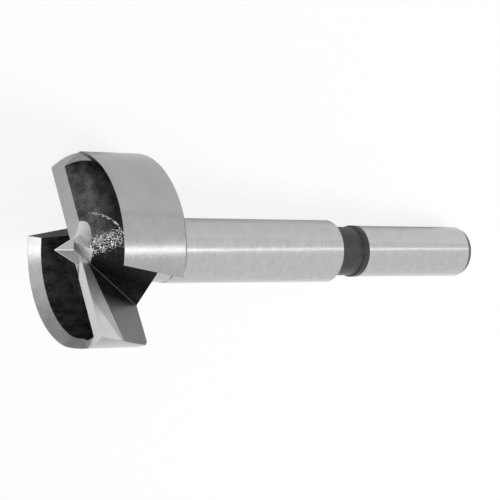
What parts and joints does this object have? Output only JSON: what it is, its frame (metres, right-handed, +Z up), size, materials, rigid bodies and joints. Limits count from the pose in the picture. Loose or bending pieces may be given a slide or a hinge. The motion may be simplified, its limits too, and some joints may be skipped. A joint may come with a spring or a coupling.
{
  "type": "forstner bit",
  "caption": "Forstner bit with a plain round shank and a cutting head of smooth bevelled rims, radial lips, chip throats and a centre point, for boring flat-bottomed holes in wood.",
  "frame": {"origin": "centre of the bottom of the bit's box, on the surface that the bit lies on", "axes": "+X along the bit from the shank towards the centre point, +Z up"},
  "size_m": [0.0932, 0.035, 0.0337],
  "materials": {
    "steel": "ground bright steel on the shank, body, head, lips and rims, with a black unground finish in the pockets and throats and on the neck"
  },
  "bodies": {
    "root": {"forstner_bit": "steel"}
  },
  "joints": []
}
